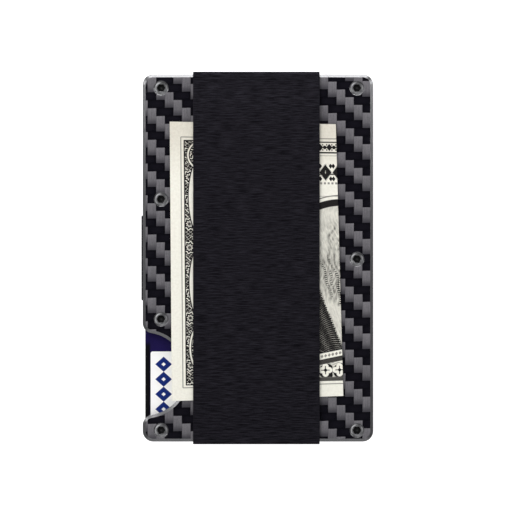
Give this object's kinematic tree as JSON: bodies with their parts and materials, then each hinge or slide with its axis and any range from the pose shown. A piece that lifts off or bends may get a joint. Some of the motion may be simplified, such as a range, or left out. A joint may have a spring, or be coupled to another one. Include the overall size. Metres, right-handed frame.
{
  "type": "minimalist wallet",
  "caption": "Slim card wallet of bevelled carbon-twill plates on inner plates, held by elastic webbing, with an elastic cash strap, a thumb notch, a bank card and a folded note.",
  "frame": {"origin": "centre of the back outer plate's flat face, on which the wallet lies", "axes": "+Z out of the front, where the cash strap and the note are; +Y along the long side, away from the thumb notch; +X towards the open side where the cards come out"},
  "size_m": [0.0549, 0.0882, 0.0075],
  "materials": {
    "carbon_laminate": "2x2 twill carbon laminate under clear gloss resin, with a satin machined bevel",
    "black_aluminium": "black anodised, satin",
    "elastic_webbing": "ribbed black elastic webbing",
    "screw_steel": "black-oxide steel, satin",
    "card_plastic": "laminated printed card, glossy",
    "chip_contacts": "gold-plated contacts",
    "note_paper": "cotton banknote paper with engraved print"
  },
  "bodies": {
    "back_shell": {"back_outer_plate": "carbon_laminate", "back_inner_plate": "black_aluminium", "long_elastic": "elastic_webbing", "side_elastic": "elastic_webbing", "back_screw_1": "screw_steel", "back_screw_2": "screw_steel", "back_screw_3": "screw_steel", "back_screw_4": "screw_steel", "back_screw_5": "screw_steel", "back_screw_6": "screw_steel", "back_screw_7": "screw_steel"},
    "front_shell": {"front_outer_plate": "carbon_laminate", "front_inner_plate": "black_aluminium", "cash_strap": "elastic_webbing", "front_screw_1": "screw_steel", "front_screw_2": "screw_steel", "front_screw_3": "screw_steel", "front_screw_4": "screw_steel", "front_screw_5": "screw_steel", "front_screw_6": "screw_steel", "front_screw_7": "screw_steel"},
    "card": {"payment_card": "card_plastic", "card_chip": "chip_contacts"},
    "note": {"folded_note": "note_paper"}
  },
  "joints": [
    {"name": "shell_spread", "type": "slide", "parent": "back_shell", "child": "front_shell", "axis": [0, 0, 1], "range_m": [0, 0.0084], "stiffness_N_per_m": 600, "springref_m": -0.005, "deforming": ["long_elastic", "side_elastic"]},
    {"name": "card_slide", "type": "slide", "parent": "back_shell", "child": "card", "axis": [1, 0, 0], "range_m": [0, 0.054]},
    {"name": "note_slide", "type": "slide", "parent": "front_shell", "child": "note", "axis": [1, 0, 0], "range_m": [-0.036, 0.036]}
  ]
}
